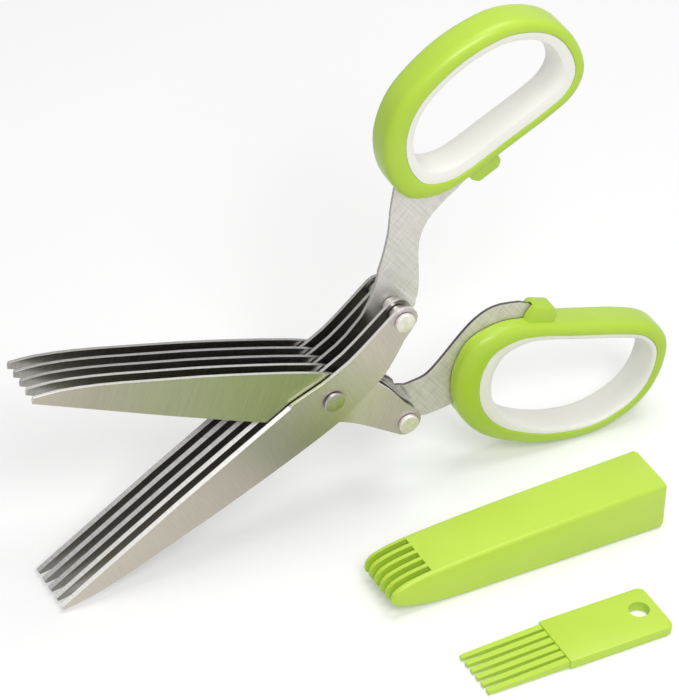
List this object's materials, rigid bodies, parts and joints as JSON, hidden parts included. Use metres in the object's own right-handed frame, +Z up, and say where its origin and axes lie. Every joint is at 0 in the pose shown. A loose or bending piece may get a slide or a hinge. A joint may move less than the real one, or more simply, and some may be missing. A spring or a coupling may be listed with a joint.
{
  "type": "herb scissors",
  "caption": "Herb scissors with a stack of parallel blades and looped grips, standing open beside their slotted blade cover and cleaning comb.",
  "frame": {"origin": "on the table, under the middle of the whole set", "axes": "+X from the blade tips to the handles, +Y along the pivot axis from the front blade to the rear, +Z up"},
  "size_m": [0.1977, 0.0982, 0.1514],
  "materials": {
    "blade_steel": "ground and brushed stainless steel",
    "rivet_steel": "turned and polished stainless steel",
    "green_plastic": "satin moulded plastic",
    "ivory_plastic": "soft satin moulded plastic"
  },
  "bodies": {
    "finger_half": {"finger_blade_1": "blade_steel", "finger_blade_2": "blade_steel", "finger_blade_3": "blade_steel", "finger_blade_4": "blade_steel", "finger_blade_5": "blade_steel", "pivot_pin": "rivet_steel", "pivot_spacer_1": "rivet_steel", "pivot_spacer_2": "rivet_steel", "pivot_spacer_3": "rivet_steel", "pivot_spacer_4": "rivet_steel", "finger_rivet": "rivet_steel", "finger_sleeve_1": "rivet_steel", "finger_sleeve_2": "rivet_steel", "finger_sleeve_3": "rivet_steel", "finger_sleeve_4": "rivet_steel", "finger_grip": "green_plastic", "finger_ring": "ivory_plastic"},
    "thumb_half": {"thumb_blade_1": "blade_steel", "thumb_blade_2": "blade_steel", "thumb_blade_3": "blade_steel", "thumb_blade_4": "blade_steel", "thumb_blade_5": "blade_steel", "thumb_rivet": "rivet_steel", "thumb_sleeve_1": "rivet_steel", "thumb_sleeve_2": "rivet_steel", "thumb_sleeve_3": "rivet_steel", "thumb_sleeve_4": "rivet_steel", "thumb_grip": "green_plastic", "thumb_ring": "ivory_plastic"},
    "cover": {"blade_cover": "green_plastic"},
    "comb": {"cleaning_comb": "green_plastic"}
  },
  "joints": [
    {"name": "pivot", "type": "hinge", "parent": "finger_half", "child": "thumb_half", "pos_m": [-0.01144, 0.0288, 0.04572], "axis": [0, 1, 0], "range_deg": [-13, 44.4]},
    {"name": "cover_lift", "type": "slide", "parent": "finger_half", "child": "cover", "axis": [0, 0, 1], "range_m": [0, 0.15]},
    {"name": "comb_lift", "type": "slide", "parent": "finger_half", "child": "comb", "axis": [0, 0, 1], "range_m": [0, 0.12]}
  ]
}
